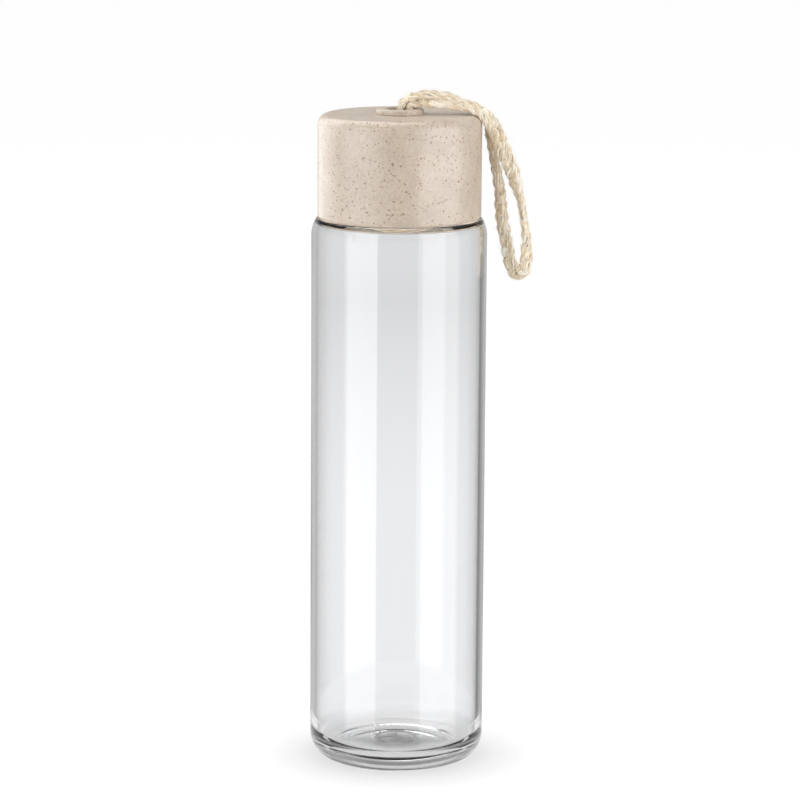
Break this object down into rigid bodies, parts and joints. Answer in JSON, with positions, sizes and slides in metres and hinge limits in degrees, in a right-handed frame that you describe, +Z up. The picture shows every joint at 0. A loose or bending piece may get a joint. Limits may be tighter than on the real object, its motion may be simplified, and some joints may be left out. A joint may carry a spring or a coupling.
{
  "type": "glass water bottle",
  "caption": "Straight round glass water bottle with a screw cap in speckled composite and a braided rope carrying loop.",
  "frame": {"origin": "centre of the base on the plane that the bottle stands on", "axes": "+Z up along the bottle's axis; the carrying rope hangs down on the +X side"},
  "size_m": [0.0817, 0.065, 0.2513],
  "materials": {
    "clear_glass": "clear polished soda-lime glass",
    "speckled_composite": "satin moulded plant-fibre composite with fine brown specks",
    "liner_plastic": "satin moulded food-grade plastic",
    "silicone": "soft translucent white silicone",
    "braided_rope": "three-strand flat braid of undyed sisal or jute, slightly fuzzy"
  },
  "bodies": {
    "bottle": {"glass_bottle": "clear_glass"},
    "seal": {"seal_ring": "silicone"},
    "cap": {"cap_shell": "speckled_composite", "cap_liner": "liner_plastic", "rope_eyelet": "speckled_composite"},
    "rope": {"rope_loop": "braided_rope", "rope_knot": "braided_rope"}
  },
  "joints": [
    {"name": "cap_lift", "type": "slide", "parent": "bottle", "child": "seal", "axis": [0, 0, 1], "range_m": [0, 0.00601]},
    {"name": "cap_turn", "type": "hinge", "parent": "seal", "child": "cap", "pos_m": [0, 0, 0.23], "axis": [0, 0, 1], "range_deg": [0, 540]},
    {"name": "rope_swivel", "type": "hinge", "parent": "cap", "child": "rope", "pos_m": [0, 0, 0.244], "axis": [0, 0, 1], "continuous": true}
  ],
  "couplings": [
    {"joint": "cap_lift", "follows": "cap_turn", "m_per_rad": 0.00063662}
  ]
}
